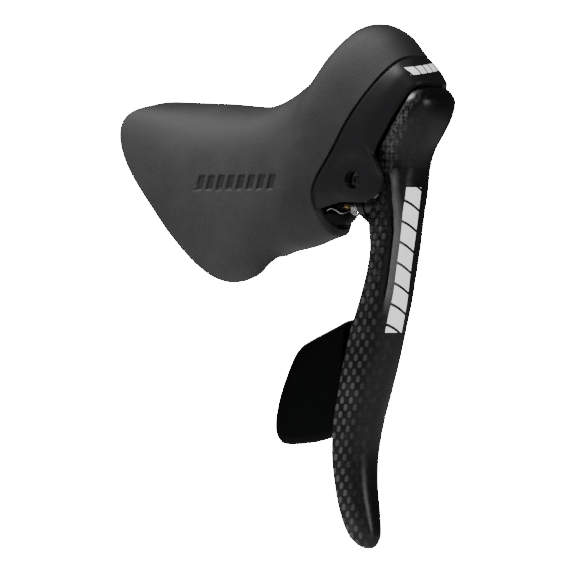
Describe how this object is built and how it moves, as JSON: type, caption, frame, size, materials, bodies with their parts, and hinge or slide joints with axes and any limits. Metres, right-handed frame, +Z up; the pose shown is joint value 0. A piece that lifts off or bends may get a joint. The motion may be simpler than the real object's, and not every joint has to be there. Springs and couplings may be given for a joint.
{
  "type": "brake shift lever",
  "caption": "Right-hand road bicycle brake and shift lever: rubber hood on a clamp bracket, front cover, carbon brake blade and a swinging shift paddle.",
  "frame": {"origin": "centre of the handlebar seat, on the handlebar's axis", "axes": "+X forward along the bicycle, +Z up along the hanging blade, -Y outboard (away from the bicycle's middle), for a lever on the rider's right"},
  "size_m": [0.121, 0.034, 0.169],
  "materials": {
    "hood_rubber": "fine grained rubber",
    "bumper_rubber": "smooth",
    "cover_plastic": "satin",
    "bracket_composite": "glossy",
    "band_steel": "brushed",
    "bolt_steel": "machined",
    "fastener_steel": "machined",
    "pin_steel": "blackened",
    "black_screw": "blackened",
    "bush_brass": "turned",
    "carrier_aluminium": "machined",
    "anchor_aluminium": "turned",
    "arm_aluminium": "black anodised",
    "blade_carbon": "woven carbon fibre under clear coat",
    "spring_steel": "bright drawn wire",
    "paddle_black": "gloss black",
    "axle_steel": "ground",
    "pawl_steel": "hardened",
    "ratchet_steel": "machined",
    "spool_plastic": "moulded"
  },
  "bodies": {
    "bracket_body": {"bracket": "bracket_composite", "hood": "hood_rubber", "front_cover": "cover_plastic", "clamp_band": "band_steel", "clamp_nut": "fastener_steel", "clamp_bolt": "bolt_steel", "clamp_washer": "fastener_steel", "pivot_pin": "pin_steel", "ear_bushes": "bush_brass", "pin_lock_screw": "black_screw", "brake_housing_seat": "carrier_aluminium", "shift_housing_seat": "carrier_aluminium", "stop_bumper": "bumper_rubber", "brake_return_spring": "spring_steel"},
    "brake_lever": {"brake_blade": "blade_carbon", "lever_carrier": "carrier_aluminium", "carrier_bush": "bush_brass", "rear_bush": "bush_brass", "hold_pawl_pin": "fastener_steel", "reach_screw": "black_screw", "blade_dowels": "fastener_steel", "paddle_return_spring": "spring_steel"},
    "cable_barrel": {"cable_anchor": "anchor_aluminium", "anchor_screw": "black_screw"},
    "paddle_lever": {"shift_paddle": "paddle_black", "paddle_arm": "arm_aluminium", "paddle_screws": "black_screw", "shift_axle": "axle_steel", "axle_clips": "black_screw", "drive_arm": "axle_steel", "drive_pawl": "pawl_steel", "drive_pawl_pin": "fastener_steel"},
    "spool": {"cable_spool": "spool_plastic", "ratchet_wheel": "ratchet_steel", "thrust_washers": "bush_brass"},
    "hold_pawl": {"hold_pawl": "pawl_steel"}
  },
  "joints": [
    {"name": "brake_pivot", "type": "hinge", "parent": "bracket_body", "child": "brake_lever", "pos_m": [0.0713, 0, 0.01], "axis": [0, 1, 0], "range_deg": [0, 22], "stiffness_Nm_per_rad": 0.25, "springref_deg": -8},
    {"name": "paddle_swing", "type": "hinge", "parent": "brake_lever", "child": "paddle_lever", "pos_m": [0.066, 0, 0.002], "axis": [1, 0, 0], "range_deg": [0, 22], "stiffness_Nm_per_rad": 0.15, "springref_deg": -10},
    {"name": "spool_turn", "type": "hinge", "parent": "brake_lever", "child": "spool", "pos_m": [0.054, 0, 0.002], "axis": [1, 0, 0], "range_deg": [0, 22]},
    {"name": "anchor_turn", "type": "hinge", "parent": "brake_lever", "child": "cable_barrel", "pos_m": [0.077, 0, 0.028], "axis": [0, 1, 0], "range_deg": [-22, 0]},
    {"name": "hold_pawl_lift", "type": "hinge", "parent": "brake_lever", "child": "hold_pawl", "pos_m": [0.0513, 0.0046, 0.0098], "axis": [-1, 0, 0], "range_deg": [0, 20], "stiffness_Nm_per_rad": 0.01, "springref_deg": -5}
  ],
  "couplings": [
    {"joint": "spool_turn", "follows": "paddle_swing", "ratio": 1},
    {"joint": "anchor_turn", "follows": "brake_pivot", "ratio": -1}
  ]
}
